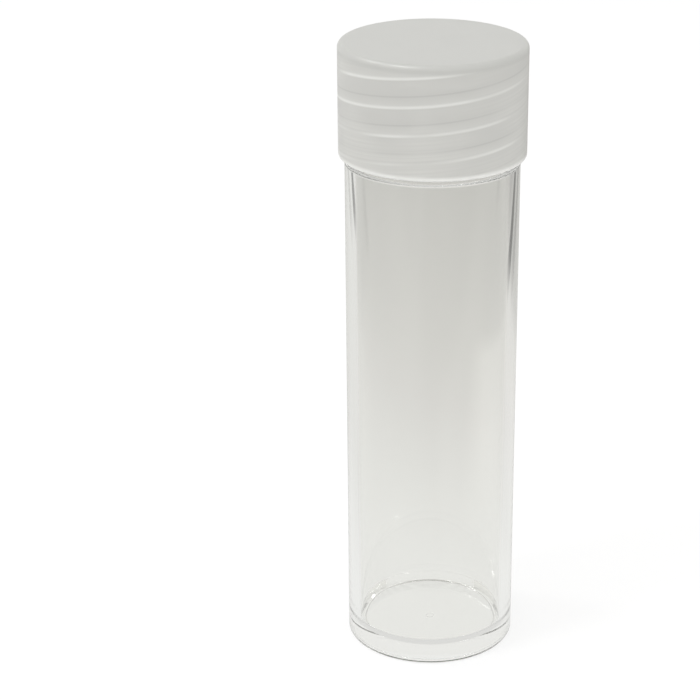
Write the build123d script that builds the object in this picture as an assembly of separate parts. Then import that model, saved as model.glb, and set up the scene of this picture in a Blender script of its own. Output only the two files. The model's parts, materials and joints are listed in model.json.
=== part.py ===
"""A clear moulded tube with a frosted screw cap, for a stack of small round discs.

Millimetres, +Z up. The origin is the centre of the foot, so the tube stands on z = 0. Everything is
built outwards from the bore and upwards from the foot, and -Y is the front.
"""

import os

from build123d import *

# Bore: it tapers, so that the moulded tube comes off its core
bore_floor_diameter = 19.3
bore_taper = 0.35            # how much further out the wall stands at the mouth than at the floor
inside_depth = 79.3          # floor to rim
corner_cone_height = 1.1     # the cone that takes the bore's wall down to its floor
corner_cone_width = 0.8

# Tube wall and foot
neck_wall = 0.6              # at the mouth, between the bore and the thread's root
shoulder_step = 0.65         # from the neck out to the barrel
neck_length = 13.8           # shoulder to rim
floor_thickness = 1.9
foot_height = 0.3            # how far the floor is recessed above the foot ring
foot_ring_width = 1.2
foot_edge_radius = 0.35
shoulder_edge_radius = 0.25
rim_edge_radius = 0.2
gate_mark_diameter = 1.0     # the moulding gate's stub, left in the foot's recess
gate_mark_height = 0.12

# Screw thread: two ridges a half turn apart, right-hand
thread_starts = 2
thread_pitch = 3.6           # from one ridge to the next
thread_depth = 0.5
ridge_foot_width = 1.8
ridge_crest_width = 0.9
thread_crest_clearance = 0.15
thread_flank_clearance = 0.25
ridge_fade = 0.7             # height over which a ridge runs out at its ends
neck_thread_below_rim = 0.7
neck_thread_above_shoulder = 2.2
cap_thread_above_edge = 1.3
front_ridge_drop = 6.55      # from the rim down to a cap ridge's middle, at the front

# Cap
cap_wall = 0.8
cap_roof = 1.2
skirt_gap = 0.8              # the skirt stops this far above the shoulder
cap_top_radius = 0.7
cap_edge_radius = 0.3

# Seat ring under the cap's roof, which lands on the rim
seat_ring_height = 0.4
seat_ring_width = 0.9

# Radii
bore_floor_radius = bore_floor_diameter / 2
bore_mouth_radius = bore_floor_radius + bore_taper
neck_radius = bore_mouth_radius + neck_wall
barrel_radius = neck_radius + shoulder_step
neck_crest_radius = neck_radius + thread_depth
skirt_bore_radius = neck_crest_radius + thread_crest_clearance
cap_crest_radius = skirt_bore_radius - thread_depth
cap_radius = skirt_bore_radius + cap_wall
recess_radius = barrel_radius - foot_ring_width
seat_outer_radius = cap_crest_radius - thread_crest_clearance
seat_inner_radius = seat_outer_radius - seat_ring_width

# Heights
floor_z = foot_height + floor_thickness
rim_z = floor_z + inside_depth
shoulder_z = rim_z - neck_length
roof_z = rim_z + seat_ring_height
cap_top_z = roof_z + cap_roof
skirt_z = shoulder_z + skirt_gap

# Thread places: the cap's ridges lie under the neck's, so that turning the cap shut pulls it down
thread_lead = thread_pitch * thread_starts
flank_slope = (ridge_foot_width - ridge_crest_width) / thread_depth
flank_reach = ridge_foot_width - flank_slope * (skirt_bore_radius - neck_radius) / 2
cap_ridge_z = rim_z - front_ridge_drop
neck_ridge_z = cap_ridge_z + flank_reach + thread_flank_clearance
ridge_sink = 0.3 * min(neck_wall, cap_wall)
front_angle = -90


def outline(*points):
    """A face in the XZ plane from (radius, height) points."""
    return Plane.XZ * make_face(Polyline(*points, close=True))


def turned(*points):
    """A solid of revolution about the Z axis from (radius, height) points."""
    return revolve(outline(*points), Axis.Z)


def upright(radius, low_z, high_z):
    """A cylinder about the Z axis."""
    return Pos(0, 0, low_z) * Cylinder(radius, high_z - low_z, align=(Align.CENTER, Align.CENTER, Align.MIN))


def ridges(foot_radius, crest_radius, front_z, low_z, high_z, fades_at_top):
    """The thread's ridges on one wall. They pass front_z at the front, and run from low_z to high_z.

    foot_radius is the wall that they stand on, so a ridge with its crest further in is an inside thread.
    They fade out at low_z, and fade out or are cut square at high_z.
    """
    side = 1 if crest_radius > foot_radius else -1
    sunk_radius = foot_radius - side * ridge_sink
    sunk_width = ridge_foot_width + flank_slope * ridge_sink
    section = outline(
        (sunk_radius, -sunk_width / 2),
        (crest_radius, -ridge_crest_width / 2),
        (crest_radius, ridge_crest_width / 2),
        (sunk_radius, sunk_width / 2),
    )
    start_z = low_z - sunk_width
    path = Helix(pitch=thread_lead, height=high_z - low_z + 2 * sunk_width, radius=foot_radius)
    ridge = sweep(section, path=path, is_frenet=True)
    start_angle = front_angle + 360 * (start_z - front_z) / thread_lead

    below_radius = sunk_radius - side * ridge_sink
    above_radius = crest_radius + side * thread_crest_clearance / 2
    below_fade = ridge_fade / thread_depth * side * (below_radius - foot_radius)
    above_fade = ridge_fade / thread_depth * side * (above_radius - foot_radius)
    envelope = turned(
        (below_radius, low_z + below_fade),
        (below_radius, high_z - below_fade * fades_at_top),
        (above_radius, high_z - above_fade * fades_at_top),
        (above_radius, low_z + above_fade),
    )
    turns = [Rot(0, 0, start_angle + 360 * start / thread_starts) for start in range(thread_starts)]
    return [envelope & (Pos(0, 0, start_z) * turn * ridge) for turn in turns]


def coin_tube():
    """The tube: a barrel with a foot ring, and a threaded neck above its shoulder."""
    barrel = upright(barrel_radius, 0, shoulder_z)
    barrel = fillet(barrel.edges().group_by(Axis.Z)[0], foot_edge_radius)
    barrel = fillet(barrel.edges().group_by(Axis.Z)[-1], shoulder_edge_radius)
    neck = upright(neck_radius, floor_z, rim_z)
    bore = turned(
        (0, floor_z),
        (bore_floor_radius - corner_cone_width, floor_z),
        (bore_floor_radius, floor_z + corner_cone_height),
        (bore_mouth_radius, rim_z),
        (0, rim_z),
    )
    recess = upright(recess_radius, 0, foot_height)
    gate_mark = upright(gate_mark_diameter / 2, foot_height - gate_mark_height, foot_height)
    shell = barrel + neck - bore - recess + gate_mark
    shell = fillet(shell.edges().group_by(Axis.Z)[-1], rim_edge_radius)
    thread = ridges(
        neck_radius,
        neck_crest_radius,
        neck_ridge_z,
        shoulder_z + neck_thread_above_shoulder,
        rim_z - neck_thread_below_rim,
        fades_at_top=True,
    )
    return shell + thread


def screw_cap():
    """The cap: a roof and a skirt, with the ridges inside the skirt running up into the roof."""
    outside = upright(cap_radius, skirt_z, cap_top_z)
    outside = fillet(outside.edges().group_by(Axis.Z)[-1], cap_top_radius)
    outside = fillet(outside.edges().group_by(Axis.Z)[0], cap_edge_radius)
    hollow = upright(skirt_bore_radius, skirt_z, roof_z)
    thread = ridges(
        skirt_bore_radius,
        cap_crest_radius,
        cap_ridge_z,
        skirt_z + cap_thread_above_edge,
        roof_z + ridge_sink,
        fades_at_top=False,
    )
    return outside - hollow + thread


def cap_seat_ring():
    """The flat ring under the roof that the rim closes against."""
    return upright(seat_outer_radius, rim_z, roof_z) - upright(seat_inner_radius, rim_z, roof_z)


os.makedirs("parts", exist_ok=True)
for make in (coin_tube, screw_cap, cap_seat_ring):
    piece = make()
    export_step(piece, f"parts/{make.__name__}.step")
    print(make.__name__, len(piece.solids()), "solid", round(piece.volume, 1), "mm3")
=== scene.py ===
# %% [markdown]
# # A clear tube with a frosted screw cap
#
# This lesson dresses a small storage tube: a clear polystyrene moulding with a threaded neck, closed by a
# milky polyethylene cap. Both are plain round forms, so almost everything that the eye enjoys comes from
# light: what the clear wall bends, and what the cap's thread shows through its frosted skin.
#
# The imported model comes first. It fixes where each piece is and how it moves, and nothing here changes that.

# %% Load the frame
import json
import math

import bpy
from mathutils import Matrix, Vector


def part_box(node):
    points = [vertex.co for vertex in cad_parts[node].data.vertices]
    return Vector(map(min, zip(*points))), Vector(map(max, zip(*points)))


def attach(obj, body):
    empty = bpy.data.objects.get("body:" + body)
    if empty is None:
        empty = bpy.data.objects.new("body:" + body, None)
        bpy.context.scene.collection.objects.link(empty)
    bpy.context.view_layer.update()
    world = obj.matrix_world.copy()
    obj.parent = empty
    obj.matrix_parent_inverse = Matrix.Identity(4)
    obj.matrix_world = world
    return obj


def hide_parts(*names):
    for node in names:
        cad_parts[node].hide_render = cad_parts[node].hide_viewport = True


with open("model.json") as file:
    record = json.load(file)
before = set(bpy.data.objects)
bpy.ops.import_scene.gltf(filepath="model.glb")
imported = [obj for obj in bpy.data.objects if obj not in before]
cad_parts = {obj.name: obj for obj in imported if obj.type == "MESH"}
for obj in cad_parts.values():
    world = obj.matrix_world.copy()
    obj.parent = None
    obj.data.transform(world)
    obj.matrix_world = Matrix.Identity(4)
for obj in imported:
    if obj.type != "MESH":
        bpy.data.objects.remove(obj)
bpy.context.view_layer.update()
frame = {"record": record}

# %% [markdown]
# ## Sizes
#
# The outer sizes are read from the frame, so the pieces land where the solids are. What a box can't tell,
# such as a wall or a thread's depth, is written here once, in metres. The thread's lead is how far the cap
# rises in a turn, and the coupling of its two joints already holds it.

# %% Sizes read from the frame and written once
mm = 0.001
tube_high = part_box("coin_tube")[1]
cap_low, cap_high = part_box("screw_cap")
seat_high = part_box("cap_seat_ring")[1]
barrel_radius = tube_high.x
rim_z = tube_high.z
cap_radius = cap_high.x
skirt_z = cap_low.z
cap_top_z = cap_high.z
roof_z = seat_high.z
seat_radius = seat_high.x

floor_z = 2.2 * mm
cone_z = 3.3 * mm
cone_floor_radius = 8.85 * mm
bore_floor_radius = 9.65 * mm
bore_mouth_radius = 10.0 * mm
neck_radius = 10.6 * mm
shoulder_z = 67.7 * mm
foot_height = 0.3 * mm
foot_ring_width = 1.2 * mm
recess_radius = barrel_radius - foot_ring_width
skirt_bore_radius = 11.25 * mm
print(f"height {cap_top_z / mm:.1f} mm, barrel {2 * barrel_radius / mm:.1f} mm across")

# %% The thread's sizes
screw = frame["record"]["behaviour"]["couplings"][0]
full_turn = 2 * math.pi
thread_lead = screw["ratio"] * full_turn
thread_starts = 2
thread_pitch = thread_lead / thread_starts
thread_depth = 0.5 * mm
ridge_foot_width = 1.8 * mm
ridge_crest_width = 0.9 * mm
ridge_fade = 0.7 * mm
cap_ridge_z = rim_z - 6.55 * mm
neck_ridge_z = cap_ridge_z + 1.465 * mm
front_angle = -math.pi / 2
print(f"lead {thread_lead / mm:.2f} mm, ridges {thread_pitch / mm:.2f} mm apart")

# %% [markdown]
# ## Turning a round piece
#
# A moulded tube is a solid of revolution, as if it were turned on a lathe. By hand you would draw half of its
# section and use Spin. The functions below do the same: sharp corners are replaced by small arcs, one vertex is
# extruded from point to point, and the wire is spun about the upright axis. Doubles are merged before the
# normals are made consistent, because the spin leaves a seam and a bundle of points at each pole.

# %% Round the corners of a section
arc_steps = 8
holding_row = 0.02 * mm


def rounded(corners):
    """Outline points (radius, height) from corners (radius, height, fillet radius)."""
    points = []
    last = len(corners) - 1
    for i, (r, z, fillet) in enumerate(corners):
        here = Vector((r, z))
        if fillet == 0 or i in (0, last):
            points.append(here)
            continue
        before = (Vector(corners[i - 1][:2]) - here).normalized()
        after = (Vector(corners[i + 1][:2]) - here).normalized()
        half = before.angle(after) / 2
        run = fillet / math.tan(half)
        start = here + before * run
        centre = here + (before + after).normalized() * fillet / math.sin(half)
        first = start - centre
        sweep = math.pi - 2 * half
        turn = 1 if before.cross(after) < 0 else -1
        points.append(start + before * holding_row)
        for k in range(arc_steps + 1):
            angle = turn * sweep * k / arc_steps
            points.append(centre + Matrix.Rotation(angle, 2) @ first)
        points.append(here + after * (run + holding_row))
    return points


# %% Draw a section, cut its wall, and spin it
spin_steps = 192
touching = 0.001 * mm
merge_distance = 0.0005 * mm
crease_angle = math.radians(35)


def section(name, corners):
    """A new piece that is still a wire: the outline of its section, drawn by extruding one vertex."""
    points = [Vector((p.x, 0, p.y)) for p in rounded(corners)]
    bpy.ops.object.select_all(action="DESELECT")
    bpy.ops.mesh.primitive_plane_add(size=mm, location=(0, 0, 0))
    piece = bpy.context.active_object
    piece.name = name
    bpy.ops.object.mode_set(mode="EDIT")
    bpy.ops.mesh.merge(type="CENTER")
    bpy.ops.transform.translate(value=points[0])
    for here, there in zip(points, points[1:]):
        bpy.ops.mesh.extrude_region_move(TRANSFORM_OT_translate={"value": there - here})
    bpy.ops.object.mode_set(mode="OBJECT")
    print(name, "section of", len(points), "points")
    return piece


def cut_wall(piece, radius, shortest, rows):
    """Cut the wire's upright runs at a radius, where they are long enough, into rows."""
    bpy.ops.object.mode_set(mode="EDIT")
    bpy.ops.mesh.select_mode(type="EDGE")
    bpy.ops.mesh.select_all(action="DESELECT")
    bpy.ops.object.mode_set(mode="OBJECT")
    for edge in piece.data.edges:
        a, b = (piece.data.vertices[i].co for i in edge.vertices)
        at_radius = abs(a.x - radius) < touching and abs(b.x - radius) < touching
        edge.select = at_radius and abs(a.z - b.z) > shortest
    bpy.ops.object.mode_set(mode="EDIT")
    bpy.ops.mesh.subdivide(number_cuts=rows)


def spin(piece):
    """Spin the wire all the way round, and close the shell."""
    bpy.ops.object.mode_set(mode="EDIT")
    bpy.ops.mesh.select_mode(type="VERT")
    bpy.ops.mesh.select_all(action="SELECT")
    bpy.ops.mesh.spin(steps=spin_steps, angle=full_turn, center=(0, 0, 0), axis=(0, 0, 1))
    bpy.ops.mesh.select_all(action="SELECT")
    bpy.ops.mesh.remove_doubles(threshold=merge_distance)
    bpy.ops.mesh.normals_make_consistent(inside=False)
    bpy.ops.object.mode_set(mode="OBJECT")
    bpy.ops.object.shade_smooth_by_angle(angle=crease_angle)
    print(piece.name, len(piece.data.polygons), "faces")


# %% [markdown]
# ## Raising a thread
#
# The thread is two ridges, a half turn apart, that climb to the right. They could be separate strips joined
# with a Boolean, but a clear piece must be one clean shell, since a hidden inner wall bends light too. So the
# wall is cut into fine rows before it is spun, and the rows are pushed out, or in, where a ridge passes.

# %% Ridges pushed out of a finely cut wall
row_height = 0.14 * mm
long_run = 1 * mm


def ridge_height(point, front_z, low_z, high_z):
    """How far a ridge stands off the wall at a point. It runs out softly at low_z and high_z."""
    angle = math.atan2(point.y, point.x) - front_angle
    climb = front_z + thread_lead * angle / full_turn
    off_crest = abs((point.z - climb + thread_pitch / 2) % thread_pitch - thread_pitch / 2)
    flank = (ridge_foot_width / 2 - off_crest) / (ridge_foot_width / 2 - ridge_crest_width / 2)
    flank = min(max(flank, 0), 1)
    flank = flank * flank * (3 - 2 * flank)
    low_end = min(max((point.z - low_z) / ridge_fade, 0), 1)
    high_end = min(max((high_z - point.z) / ridge_fade, 0), 1)
    return thread_depth * min(flank, low_end, high_end)


def raise_thread(piece, wall_radius, outwards, front_z, low_z, high_z):
    """Push the wall's vertices out (outwards 1) or in (outwards -1) along the ridges."""
    moved = 0
    for vertex in piece.data.vertices:
        radius = math.hypot(vertex.co.x, vertex.co.y)
        if abs(radius - wall_radius) > touching or not low_z < vertex.co.z < high_z:
            continue
        height = ridge_height(vertex.co, front_z, low_z, high_z)
        stretch = (radius + outwards * height) / radius
        vertex.co.x *= stretch
        vertex.co.y *= stretch
        moved += height > 0
    piece.data.update()
    print(piece.name, "thread rows moved", moved, "vertices")


# %% [markdown]
# ## The clear tube
#
# The tube is one clear moulding. Its section runs from the gate stub in the middle of the foot's shallow recess,
# round the foot ring, up the barrel, over the shoulder and the neck to the rim, and back down the tapered bore
# to the floor. A short cone joins the wall to the floor inside, to give the pale band that shows through the
# plastic near the foot. Cylinders and Booleans could give much the same form, but a single spun section leaves
# no chance of a hidden inner face, and in clear plastic every hidden face shows.

# %% Draw the tube's section
gate_radius = 0.5 * mm
gate_z = foot_height - 0.12 * mm
gate_fillet = 0.03 * mm
recess_fillet = 0.08 * mm
foot_edge_fillet = 0.35 * mm
shoulder_fillet = 0.25 * mm
neck_root_fillet = 0.1 * mm
rim_fillet = 0.2 * mm
bore_corner_fillet = 0.15 * mm

tube = section(
    "clear_tube",
    [
        (0, gate_z, 0),
        (gate_radius, gate_z, gate_fillet),
        (gate_radius, foot_height, gate_fillet),
        (recess_radius, foot_height, recess_fillet),
        (recess_radius, 0, recess_fillet),
        (barrel_radius, 0, foot_edge_fillet),
        (barrel_radius, shoulder_z, shoulder_fillet),
        (neck_radius, shoulder_z, neck_root_fillet),
        (neck_radius, rim_z, rim_fillet),
        (bore_mouth_radius, rim_z, rim_fillet),
        (bore_floor_radius, cone_z, bore_corner_fillet),
        (cone_floor_radius, floor_z, bore_corner_fillet),
        (0, floor_z, 0),
    ],
)

# %% Spin the tube and raise its thread
neck_thread_low_z = shoulder_z + 2.2 * mm
neck_thread_high_z = rim_z - 0.7 * mm
cut_wall(tube, neck_radius, long_run, round((rim_z - shoulder_z) / row_height))
spin(tube)
raise_thread(tube, neck_radius, 1, neck_ridge_z, neck_thread_low_z, neck_thread_high_z)
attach(tube, "tube")
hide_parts("coin_tube")

# %% [markdown]
# ## The frosted cap
#
# The cap is a roof and a skirt, moulded in a softer plastic. Its ridges are inside and run up into the roof, so
# they are pushed inwards and only fade at the skirt's edge. They could be a strip of their own joined to the
# skirt, but pushed rows leave no seam. The outside stays plain: what shows there is the thread behind the skin,
# and the material paints it, with a painted highlight and a painted shade along each ridge.

# %% Turn the cap
roof_corner_fillet = 0.15 * mm
skirt_mouth_fillet = 0.1 * mm
skirt_edge_fillet = 0.3 * mm
cap_top_fillet = 0.7 * mm
cap_thread_low_z = skirt_z + 1.3 * mm
past_the_roof_z = roof_z + ridge_fade

cap = section(
    "frosted_cap",
    [
        (0, roof_z, 0),
        (skirt_bore_radius, roof_z, roof_corner_fillet),
        (skirt_bore_radius, skirt_z, skirt_mouth_fillet),
        (cap_radius, skirt_z, skirt_edge_fillet),
        (cap_radius, cap_top_z, cap_top_fillet),
        (0, cap_top_z, 0),
    ],
)
cut_wall(cap, skirt_bore_radius, long_run, round((roof_z - skirt_z) / row_height))
spin(cap)
raise_thread(cap, skirt_bore_radius, -1, cap_ridge_z, cap_thread_low_z, past_the_roof_z)
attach(cap, "cap")
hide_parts("screw_cap")

# %% [markdown]
# ## The seat ring
#
# Under its roof a cap like this may have a flat seat, moulded in one with it, that lands on the tube's rim. It
# can't be seen from outside, so its form is a guess. It could be part of the cap's section, but here it is a
# piece of its own, because it lifts with the cap without turning. It is turned like the others, from a closed
# outline, and kept a hair clear of the roof and the rim so that no two faces lie in one plane.

# %% Turn the seat ring
skin_gap = 0.02 * mm
seat_width = 0.9 * mm
seat_fillet = 0.1 * mm
seat_inner_radius = seat_radius - seat_width
seat_top_z = roof_z - skin_gap
seat_bottom_z = rim_z + skin_gap

seat = section(
    "seat_ring",
    [
        (seat_inner_radius, seat_top_z, 0),
        (seat_inner_radius, seat_bottom_z, seat_fillet),
        (seat_radius, seat_bottom_z, seat_fillet),
        (seat_radius, seat_top_z, 0),
        (seat_inner_radius, seat_top_z, 0),
    ],
)
spin(seat)
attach(seat, "cap_seat")
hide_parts("cap_seat_ring")

# %% [markdown]
# ## A short way to place nodes
#
# Materials are built from nodes. The first helper adds a node, sets its options, and fills each input with a
# plain value or with a link from another node, so that a material reads from top to bottom like a recipe. The
# others are the few nodes that come back again and again: a sum, a range, a blend, a brighter or darker colour
# and a colour ramp. In the editor these are Math, Map Range, Mix Color, Vector Math and Color Ramp.

# %% Place a node


def place(tree, kind, inputs, **options):
    """Add a shader node; inputs maps a socket's name or number to a value or to another node's output."""
    node = tree.nodes.new("ShaderNode" + kind)
    for name, value in options.items():
        setattr(node, name, value)
    for key, value in inputs.items():
        if isinstance(value, bpy.types.NodeSocket):
            tree.links.new(value, node.inputs[key])
        else:
            node.inputs[key].default_value = value
    return node


def calc(tree, operation, *values):
    """A sum on numbers and outputs."""
    return place(tree, "Math", dict(enumerate(values)), operation=operation).outputs[0]


def span(tree, value, low, high, to_low=0.0, to_high=1.0):
    """Stretch a value from low and high to to_low and to_high, and hold it there past both ends."""
    inputs = {"Value": value, "From Min": low, "From Max": high, "To Min": to_low, "To Max": to_high}
    return place(tree, "MapRange", inputs).outputs[0]


def blend(tree, factor, first, second):
    """From the first colour to the second; each is a plain (red, green, blue) or an output."""
    ends = [(*end, 1) if isinstance(end, tuple) else end for end in (first, second)]
    mix = place(tree, "Mix", {"Factor": factor, 6: ends[0], 7: ends[1]}, data_type="RGBA")
    return mix.outputs[2]


def dim(tree, colour, factor):
    """A colour times a factor."""
    return place(tree, "VectorMath", {0: colour, "Scale": factor}, operation="SCALE").outputs[0]


def ramp(tree, factor, stops):
    """A colour ramp from (position, colour) stops."""
    node = place(tree, "ValToRGB", {"Fac": factor})
    elements = node.color_ramp.elements
    while len(elements) < len(stops):
        elements.new(1)
    for element, (position, colour) in zip(elements, stops):
        element.position = position
        element.color = (*colour, 1)
    return node.outputs["Color"]


# %% Give pieces a new material


def new_finish(name, *pieces):
    """A new material on some pieces, with its tree and its Principled shader."""
    material = bpy.data.materials.new(name)
    material.use_nodes = True
    for piece in pieces:
        piece.data.materials.clear()
        piece.data.materials.append(material)
    print("finish", name, "on", [piece.name for piece in pieces])
    return material.node_tree, material.node_tree.nodes["Principled BSDF"]


# %% [markdown]
# ## Moulded skin
#
# Moulded pieces show a little of how they were made and used: a fine grain from the steel, streaks where the
# plastic flowed, and smears from handling. Each could be built twice, once in each plastic. One node group
# gives them as numbers instead, and each plastic takes its own share of them.

# %% Grain, flow marks and smears as a node group
streak_scale = 900.0
smear_scale = 120.0
no_smear = (0.0, 0.0, 0.0)
full_smear = (1.0, 1.0, 1.0)

skin = bpy.data.node_groups.new("moulded_skin", "ShaderNodeTree")
for socket_name in ("Grain Size", "Streak Stretch"):
    skin.interface.new_socket(socket_name, in_out="INPUT", socket_type="NodeSocketFloat")
for socket_name in ("Grain", "Streaks", "Handling"):
    skin.interface.new_socket(socket_name, in_out="OUTPUT", socket_type="NodeSocketFloat")
skin_in = skin.nodes.new("NodeGroupInput")
skin_out = skin.nodes.new("NodeGroupOutput")
surface = place(skin, "TexCoord", {}).outputs["Object"]
fineness = calc(skin, "DIVIDE", 1.0, skin_in.outputs["Grain Size"])
grain = place(skin, "TexNoise", {"Vector": surface, "Scale": fineness, "Detail": 3.0, "Roughness": 0.6})
flatten = place(skin, "CombineXYZ", {0: 1.0, 1: 1.0, 2: skin_in.outputs["Streak Stretch"]}).outputs[0]
along_flow = place(skin, "VectorMath", {0: surface, 1: flatten}, operation="MULTIPLY").outputs[0]
streaks = place(skin, "TexNoise", {"Vector": along_flow, "Scale": streak_scale, "Detail": 2.0, "Roughness": 0.5})
smears = place(skin, "TexNoise", {"Vector": surface, "Scale": smear_scale, "Detail": 1.0})
handling = ramp(skin, smears.outputs["Fac"], [(0.45, no_smear), (0.7, full_smear)])
skin.links.new(grain.outputs["Fac"], skin_out.inputs["Grain"])
skin.links.new(streaks.outputs["Fac"], skin_out.inputs["Streaks"])
skin.links.new(handling, skin_out.inputs["Handling"])
print("group", skin.name, "of", len(skin.nodes), "nodes")


def moulded_skin(tree, grain_size, streak_stretch):
    """The group placed in a material, with its own grain size in metres."""
    node = tree.nodes.new("ShaderNodeGroup")
    node.node_tree = skin
    node.inputs["Grain Size"].default_value = grain_size
    node.inputs["Streak Stretch"].default_value = streak_stretch
    return node


# %% [markdown]
# ## Clear polystyrene
#
# The tube is clear and polished, with an index of refraction of 1.59. It is a closed shell with a real wall,
# so Cycles bends light at each of its four surfaces. A thin shader without a wall would be quicker, but it would
# lose the bright and dark edges that make a tube look thick. Handling leaves faint smears that dull the gloss,
# and the flow marks lift the surface by next to nothing.

# %% The clear plastic
dullest_smear = 0.03
tree, clear = new_finish("clear_polystyrene", tube)
clear.inputs["Base Color"].default_value = (0.96, 0.96, 0.945, 1)
clear.inputs["IOR"].default_value = 1.59
clear.inputs["Transmission Weight"].default_value = 1.0
marks = moulded_skin(tree, 0.4 * mm, 0.06)
gloss = span(tree, marks.outputs["Handling"], 0.0, 1.0, 0.0, dullest_smear)
tree.links.new(gloss, clear.inputs["Roughness"])
ripple = place(tree, "Bump", {"Height": marks.outputs["Streaks"], "Strength": 0.02, "Distance": 0.01 * mm})
tree.links.new(ripple.outputs[0], clear.inputs["Normal"])
print("clear plastic of", len(tree.nodes), "nodes")

# %% [markdown]
# ## Frosted polyethylene
#
# The cap is milky. About a third of the light goes through its skin and is blurred on the way, and the rest comes
# back from the plastic itself. Where a ridge makes the wall thicker, the milk is denser, and the two flanks of a
# ridge are painted as a bright and a dark line: a painted highlight and a painted shade. Real scattering inside
# the wall might give this too, but slowly and with much noise. So the colour follows the thread's own helix, and
# lies on the ridges from every side.
#
# First the helix is unrolled. The angle round the cap, times the lead, is how far a ridge has climbed, so taking
# that off the height leaves a number that is the same all along a ridge. Wrapping it at the pitch gives the
# place across one ridge, from one valley to the next.

# %% Unroll the helix
tree, frosted = new_finish("frosted_polyethylene", cap, seat)
where = place(tree, "TexCoord", {}).outputs["Object"]
spot = place(tree, "SeparateXYZ", {0: where})
half_pitch = thread_pitch / 2
angle = calc(tree, "ARCTAN2", spot.outputs["Y"], spot.outputs["X"])
turned = calc(tree, "SUBTRACT", angle, front_angle)
unrolled = calc(tree, "MULTIPLY_ADD", turned, -thread_lead / full_turn, spot.outputs["Z"])
from_ridge = calc(tree, "SUBTRACT", unrolled, cap_ridge_z)
off_ridge = calc(tree, "WRAP", from_ridge, half_pitch, -half_pitch)
across = span(tree, off_ridge, -half_pitch, half_pitch)
print(f"helix unrolled, {thread_pitch / mm:.2f} mm across")

# %% [markdown]
# ### Milk, painted lines and a painted pale edge
#
# Across a ridge the colours go from the thin wall to a painted highlight on the lower flank, the thick wall and a
# painted shade on the upper flank. A slow noise lets these painted lines come and go, as they do on a moulded cap,
# and where they go, fine flow lines along the thread take their place. The roof is painted darker than the skirt,
# a painted shade, and the skirt's thin lower edge is the palest, a painted highlight.

# %% The thread's lines, a painted highlight and a painted shade
thin_wall = (0.595, 0.592, 0.572)
thick_wall = (0.625, 0.622, 0.600)
# The next two colours are a painted highlight on a ridge's lower flank and a painted shade on its upper flank.
flank_highlight = (0.78, 0.78, 0.76)
flank_shade = (0.52, 0.517, 0.50)
bands = ramp(
    tree,
    across,
    [
        (0.31, thin_wall),
        (0.37, flank_highlight),
        (0.40, flank_highlight),
        (0.47, thick_wall),
        (0.72, thin_wall),
        (0.765, flank_shade),
        (0.81, thin_wall),
    ],
)
# A slow noise makes the painted highlight and shade lines fade in and out.
patch_scale = 120.0
faintest_line = 0.1
patches = place(tree, "TexNoise", {"Vector": where, "Scale": patch_scale, "Detail": 0.0}).outputs["Fac"]
on_skirt = span(tree, spot.outputs["Z"], roof_z + 0.3 * mm, roof_z - 0.2 * mm)
sharpness = span(tree, patches, 0.38, 0.6, faintest_line, 1.0)
shown = calc(tree, "MULTIPLY", on_skirt, sharpness)
print("thread lines from", flank_shade, "to", flank_highlight)

# %% Flow lines, the roof's painted shade and the edge's painted highlight
# A painted shade: the roof is painted darker than the skirt.
roof_shade = (0.566, 0.566, 0.546)
# A painted highlight: the skirt's lower edge is painted palest.
edge_highlight = (0.83, 0.83, 0.81)
flow_scale = 2600.0
flow_depth = 0.05
flow_lines = place(tree, "TexNoise", {"W": off_ridge, "Scale": flow_scale, "Detail": 1.0}, noise_dimensions="1D")
streak = span(tree, flow_lines.outputs["Fac"], 0.3, 0.7, 1.0 - flow_depth, 1.0 + flow_depth)
streak = place(tree, "Mix", {"Factor": on_skirt, 2: 1.0, 3: streak}).outputs[0]
plain = blend(tree, on_skirt, roof_shade, thick_wall)
banded = blend(tree, shown, dim(tree, plain, streak), bands)
# Painted highlight along the skirt's lower edge.
at_edge = span(tree, spot.outputs["Z"], skirt_z + 0.75 * mm, skirt_z + 0.35 * mm)
# The cap's colour holds the milk tones together with the painted highlights and painted shades above.
milk = blend(tree, at_edge, banded, edge_highlight)
print("milk of", len(tree.nodes), "nodes")

# %% The frosted plastic
finest_frost = 0.30
coarsest_frost = 0.34
marks = moulded_skin(tree, 0.8 * mm, 0.3)
tree.links.new(milk, frosted.inputs["Base Color"])
frosted.inputs["IOR"].default_value = 1.5
frosted.inputs["Transmission Weight"].default_value = 0.3
haze = span(tree, marks.outputs["Handling"], 0.0, 1.0, finest_frost, coarsest_frost)
tree.links.new(haze, frosted.inputs["Roughness"])
frost = place(tree, "Bump", {"Height": marks.outputs["Grain"], "Strength": 0.02, "Distance": 0.02 * mm})
tree.links.new(frost.outputs[0], frosted.inputs["Normal"])
print("frost from", finest_frost, "to", coarsest_frost)

# %% [markdown]
# ## Stage, light and camera
#
# The page is white, and a clear tube on white would all but vanish, because a clear thing has only the tones
# that lie around it. To the camera this floor is plain white. Rays that reach it through the plastic see painted
# light and shade instead, pale near the tube and greyer further off, and that is what fills the barrel with tone.
# So the barrel's grey is painted shade on this stage and not in the plastic, and it is set for this one camera.
# The floor could also be plain for all rays, which is simpler and truer, but then the barrel comes out nearly
# white.

# %% Floor
bpy.ops.object.select_all(action="DESELECT")
floor_gap = 0.02 * mm
floor_size = 6
bpy.ops.mesh.primitive_plane_add(size=floor_size, location=(0, 0, -floor_gap))
floor = bpy.context.active_object
floor.name = "studio_floor"
tree, paper = new_finish("studio_paper", floor)
paper.inputs["Base Color"].default_value = (0.97, 0.97, 0.97, 1)
paper.inputs["Roughness"].default_value = 0.9

# %% Paper painted greyer with distance, a painted falloff of light
paper_reach = 0.2
slant = 0.5
spread = place(tree, "TexCoord", {}).outputs["Object"]
spot = place(tree, "SeparateXYZ", {0: spread})
depth = calc(tree, "ABSOLUTE", spot.outputs["Y"])
away = calc(tree, "MULTIPLY_ADD", spot.outputs["X"], slant, depth)
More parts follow.
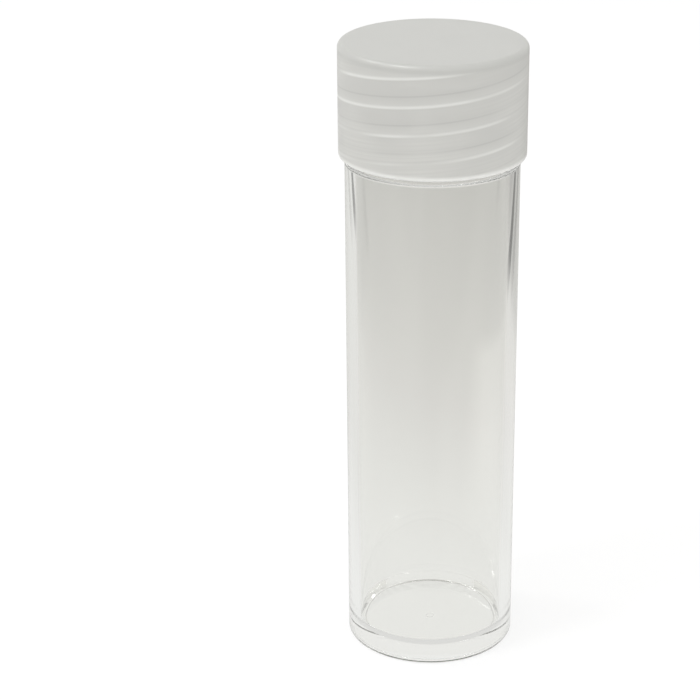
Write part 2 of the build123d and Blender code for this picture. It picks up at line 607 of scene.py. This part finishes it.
# Painted shade: the paper's tone falls off away from the tube, as light would.
shade = ramp(
    tree,
    span(tree, away, 0.0, paper_reach),
    [
        (0.0, (0.865, 0.868, 0.858)),
        (0.1, (0.865, 0.868, 0.855)),
        (0.2, (0.817, 0.818, 0.802)),
        (0.38, (0.724, 0.717, 0.702)),
        (0.5, (0.69, 0.685, 0.665)),
        (0.95, (0.61, 0.605, 0.585)),
    ],
)
print("paper greys over", paper_reach, "m")

# %% [markdown]
# ### A painted light patch, a pale card tone and two dark strips
#
# A painted patch of light on the paper at the right, behind the tube and in front of it, makes the soft light
# patch in the barrel's lower half. A pale card tone at the left, a painted reflection, fills the barrel's left
# wall, and black strips at both sides of the set, painted dark reflections, draw the thin dark lines near its
# edges. Under the tube the paper is darker, a painted contact shadow, which draws the grey line along the front
# of the tube's floor. A photographer could set up real cards. These are only tones of the floor, and some do what
# no real card can: the card tone, the dark strips and the paper under the tube act only on light that was
# reflected at least once, on either side of the wall. The camera never sees any of them directly, but they do
# show in the plastic from other sides: from behind, the dark strips are two faint streaks and the light patch is
# a slanted patch.

# %% A painted patch of light, and painted shade far to the sides
# A painted pool of light: the paper is painted brighter in a patch at the right.
light_patch_slope = -0.13
brighter = 1.14
side_loss = 0.13
light_patch_edge = calc(tree, "MULTIPLY_ADD", depth, light_patch_slope, spot.outputs["X"])
beside = span(tree, light_patch_edge, 0.001, 0.009)
before_its_end = span(tree, depth, 0.104, 0.094)
clear_of_foot = span(tree, depth, 0.02, 0.06)
on_light_patch = calc(tree, "MULTIPLY", calc(tree, "MULTIPLY", beside, before_its_end), clear_of_foot)
light_patch_gain = span(tree, on_light_patch, 0.0, 1.0, 1.0, brighter)
# Painted shade: the paper is painted darker far to the sides.
aside = span(tree, calc(tree, "ABSOLUTE", spot.outputs["X"]), 0.0, 0.07, 0.0, side_loss)
far_off = span(tree, depth, 0.09, 0.13)
gain = calc(tree, "SUBTRACT", light_patch_gain, calc(tree, "MULTIPLY", aside, far_off))
lit = dim(tree, shade, gain)
print("light_patch", brighter, "times as bright, far sides", 1 - side_loss)

# %% Pale card tone, a painted reflection, and a painted contact shadow under the tube, for reflected light
ray = place(tree, "LightPath", {})
reflected = calc(tree, "GREATER_THAN", ray.outputs["Glossy Depth"], 0.5)
# A painted reflection: a pale card tone that the barrel's left wall shows.
card_reflection_tone = (0.79, 0.79, 0.77)
# A painted contact shadow: the paper under the tube is painted darker for reflected light.
contact_shadow_tone = (0.72, 0.72, 0.71)
on_card_reflection = calc(tree, "MULTIPLY", span(tree, spot.outputs["X"], -0.02, -0.05), reflected)
lit = blend(tree, on_card_reflection, lit, card_reflection_tone)
# Mask of the painted contact shadow under the tube.
from_axis = place(tree, "VectorMath", {0: spread}, operation="LENGTH").outputs["Value"]
contact_shadow = calc(tree, "MULTIPLY", span(tree, from_axis, 0.0112, 0.0104), reflected)
lit = blend(tree, contact_shadow, lit, contact_shadow_tone)
print("card", card_reflection_tone, "under the tube", contact_shadow_tone)

# %% Dark strips, painted dark reflections
# Painted dark reflections: black strips on the floor that only reflected light sees.
dark_strip_tone = (0.03, 0.03, 0.03)
soft_start = 0.03


def flag(x, half_width, nearest, darkness):
    """How dark a painted strip along Y, a painted dark reflection, makes the floor. It starts softly at its
    nearest end.
    """
    off = calc(tree, "ABSOLUTE", calc(tree, "SUBTRACT", spot.outputs["X"], x))
    strip = span(tree, off, half_width / 2, half_width, darkness, 0.0)
    run = span(tree, spot.outputs["Y"], nearest, nearest + soft_start)
    return calc(tree, "MULTIPLY", strip, run)


right_dark_strip = flag(0.110, 0.013, 0.075, 0.85)
left_dark_strip = flag(-0.134, 0.011, 0.092, 0.8)
flags = calc(tree, "MULTIPLY", calc(tree, "MAXIMUM", right_dark_strip, left_dark_strip), reflected)
seen_through = blend(tree, flags, lit, dark_strip_tone)
print("floor of", len(tree.nodes), "nodes so far")

# %% [markdown]
# ### White for the camera
#
# The camera itself sees a white page. Most of that white is given off by the floor, and a fifth is the lit paper,
# so the object's shadow stays on it.

# %% White for the camera, studio paper through the plastic
glow_share = 0.8
is_camera = ray.outputs["Is Camera Ray"]
page = blend(tree, is_camera, seen_through, (1, 1, 1))
by_plastic = calc(tree, "MAXIMUM", ray.outputs["Is Glossy Ray"], ray.outputs["Is Transmission Ray"])
share = calc(tree, "MULTIPLY_ADD", is_camera, glow_share, by_plastic)
glow = place(tree, "Emission", {"Color": page})
mixed = place(tree, "MixShader", {"Fac": share, 1: paper.outputs[0], 2: glow.outputs[0]})
tree.links.new(mixed.outputs[0], tree.nodes["Material Output"].inputs["Surface"])
print("floor of", len(tree.nodes), "nodes")

# %% [markdown]
# ### Surround and lamps
#
# A pale surround gives the even light of a white room. Two soft boxes at the front model the cap's sides, and
# they are hidden from reflections so that the barrel doesn't show them. Two small lamps above do show: they draw
# the bright line along the cap's rim, one towards the front and one further to the left.

# %% World
room_light = 0.85
world = bpy.data.worlds.new("studio_surround")
bpy.context.scene.world = world
world.use_nodes = True
room = world.node_tree
sky = room.nodes["Background"]
sky.inputs["Color"].default_value = (1, 1, 0.98, 1)
to_camera = place(room, "LightPath", {}).outputs["Is Camera Ray"]
brightness = span(room, to_camera, 0.0, 1.0, room_light, 1.0)
room.links.new(brightness, sky.inputs["Strength"])
print("surround", world.name, room_light)

# %% Lamps


def soft_lamp(name, stand, aim, size, watts):
    """A square soft box on its stand, aimed at a point."""
    bpy.ops.object.light_add(type="AREA", location=stand)
    lamp = bpy.context.active_object
    lamp.name = name
    lamp.data.size = size
    lamp.data.energy = watts
    lamp.rotation_euler = (Vector(aim) - Vector(stand)).to_track_quat("-Z", "Y").to_euler()
    print(name, watts, "W")
    return lamp


middle = (0, 0, cap_top_z / 2)
cap_middle = (0, 0, cap_top_z)
box_size = 0.4
small_size = 0.08
key = soft_lamp("key_lamp", (0.49, -0.345, 0.28), middle, box_size, 1.2)
fill = soft_lamp("fill_lamp", (-0.425, -0.425, 0.28), middle, box_size, 0.5)
for lamp in (key, fill):
    lamp.visible_glossy = False
    lamp.visible_transmission = False
soft_lamp("rim_lamp", (-0.2, -0.12, 0.5), cap_middle, small_size, 0.75)
soft_lamp("side_rim_lamp", (-0.33, 0.1, 0.47), cap_middle, small_size, 0.5)

# %% [markdown]
# ### Camera
#
# The camera looks down at the tube from the front with a long lens. The tube stands right of the middle of the
# picture, which is a shift of the lens and not a turn of the camera.

# %% Camera
camera_data = bpy.data.cameras.new("photo_view")
camera = bpy.data.objects.new("photo_view", camera_data)
bpy.context.scene.collection.objects.link(camera)
camera_data.sensor_width = 36
camera_data.lens = 111.2
camera_data.shift_x = -0.1163
camera.location = (0, -0.26383, 0.15225)
looking_down = math.radians(22.82)
roll = math.radians(0.343)
tilt = Matrix.Rotation(math.pi / 2 - looking_down, 3, "X")
camera.rotation_euler = (tilt @ Matrix.Rotation(roll, 3, "Z")).to_euler()
bpy.context.scene.camera = camera
bpy.context.scene.view_settings.view_transform = "Standard"
print(f"camera {camera.name}, lens {camera_data.lens:.1f} mm")

# %% [markdown]
# ### Light bounces
#
# Light that is trapped in the clear wall bounces from its skin many times on the way from the shoulder to the
# foot. With the usual few bounces the shoulder would have a black edge, so the limits are high.

# %% Light bounces
light_bounces = 256
cycles = bpy.context.scene.cycles
cycles.max_bounces = light_bounces
cycles.glossy_bounces = light_bounces
cycles.transmission_bounces = light_bounces
print("bounces", light_bounces)
